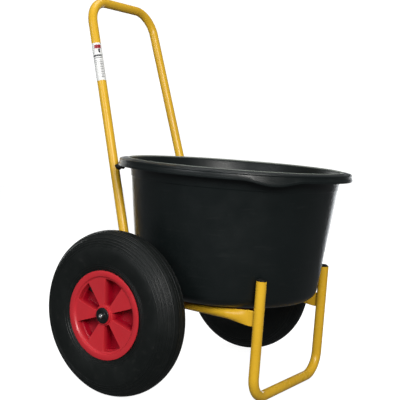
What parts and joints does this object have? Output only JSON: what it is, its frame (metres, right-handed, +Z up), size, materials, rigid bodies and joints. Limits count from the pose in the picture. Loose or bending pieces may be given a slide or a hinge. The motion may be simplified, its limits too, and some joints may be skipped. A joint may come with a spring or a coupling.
{
  "type": "wheelbarrow",
  "caption": "Garden wheelbarrow: a round lift-out tub on a bent-tube frame with a tall push-handle loop, a U-shaped front foot and pneumatic wheels on a through axle.",
  "frame": {"origin": "on the floor under the middle of the cart's plan outline, 79 mm in front of the axle", "axes": "+X to the cart's right, -Y towards its foot (the front), +Y towards the push handle, +Z up"},
  "size_m": [0.723, 0.7132, 1.0045],
  "materials": {
    "frame_paint": "gloss powder coat",
    "plug_plastic": "moulded",
    "axle_steel": "zinc plated",
    "washer_steel": "zinc plated",
    "cap_plastic": "moulded",
    "bolt_steel": "zinc plated",
    "cap_rubber": "soft vinyl",
    "label_film": "printed film",
    "tub_plastic": "semi-matte moulded",
    "tyre_rubber": "rubber",
    "tube_rubber": "rubber",
    "rim_plastic": "moulded",
    "cage_plastic": "moulded"
  },
  "bodies": {
    "frame": {"handle_bow": "frame_paint", "rail_left": "frame_paint", "rail_right": "frame_paint", "foot_tube": "frame_paint", "foot_plug_left": "plug_plastic", "foot_plug_right": "plug_plastic", "axle_bar": "axle_steel", "axle_collar_left": "axle_steel", "axle_collar_right": "axle_steel", "thrust_washer_left": "washer_steel", "thrust_washer_right": "washer_steel", "cap_washer_left": "cap_plastic", "cap_washer_right": "cap_plastic", "end_bolt_left": "bolt_steel", "end_bolt_right": "bolt_steel", "rim_peg_left": "frame_paint", "rim_peg_right": "frame_paint", "peg_cap_left": "cap_rubber", "peg_cap_right": "cap_rubber", "label_wrap": "label_film"},
    "tub": {"tub": "tub_plastic"},
    "wheel_left": {"tyre_left": "tyre_rubber", "inner_tube_left": "tube_rubber", "rim_left": "rim_plastic", "hub_sleeve_left": "axle_steel", "cage_inner_left": "cage_plastic", "cage_outer_left": "cage_plastic", "rollers_inner_left": "bolt_steel", "rollers_outer_left": "bolt_steel", "valve_stem_left": "tube_rubber", "valve_cap_left": "cap_plastic"},
    "wheel_right": {"tyre_right": "tyre_rubber", "inner_tube_right": "tube_rubber", "rim_right": "rim_plastic", "hub_sleeve_right": "axle_steel", "cage_inner_right": "cage_plastic", "cage_outer_right": "cage_plastic", "rollers_inner_right": "bolt_steel", "rollers_outer_right": "bolt_steel", "valve_stem_right": "tube_rubber", "valve_cap_right": "cap_plastic"}
  },
  "joints": [
    {"name": "wheel_left_spin", "type": "hinge", "parent": "frame", "child": "wheel_left", "pos_m": [-0.311, 0.079, 0.2], "axis": [1, 0, 0], "continuous": true},
    {"name": "wheel_right_spin", "type": "hinge", "parent": "frame", "child": "wheel_right", "pos_m": [0.311, 0.079, 0.2], "axis": [1, 0, 0], "continuous": true},
    {"name": "tub_lift", "type": "slide", "parent": "frame", "child": "tub", "axis": [0, -0.048, 0.9988], "range_m": [0, 0.45]}
  ]
}
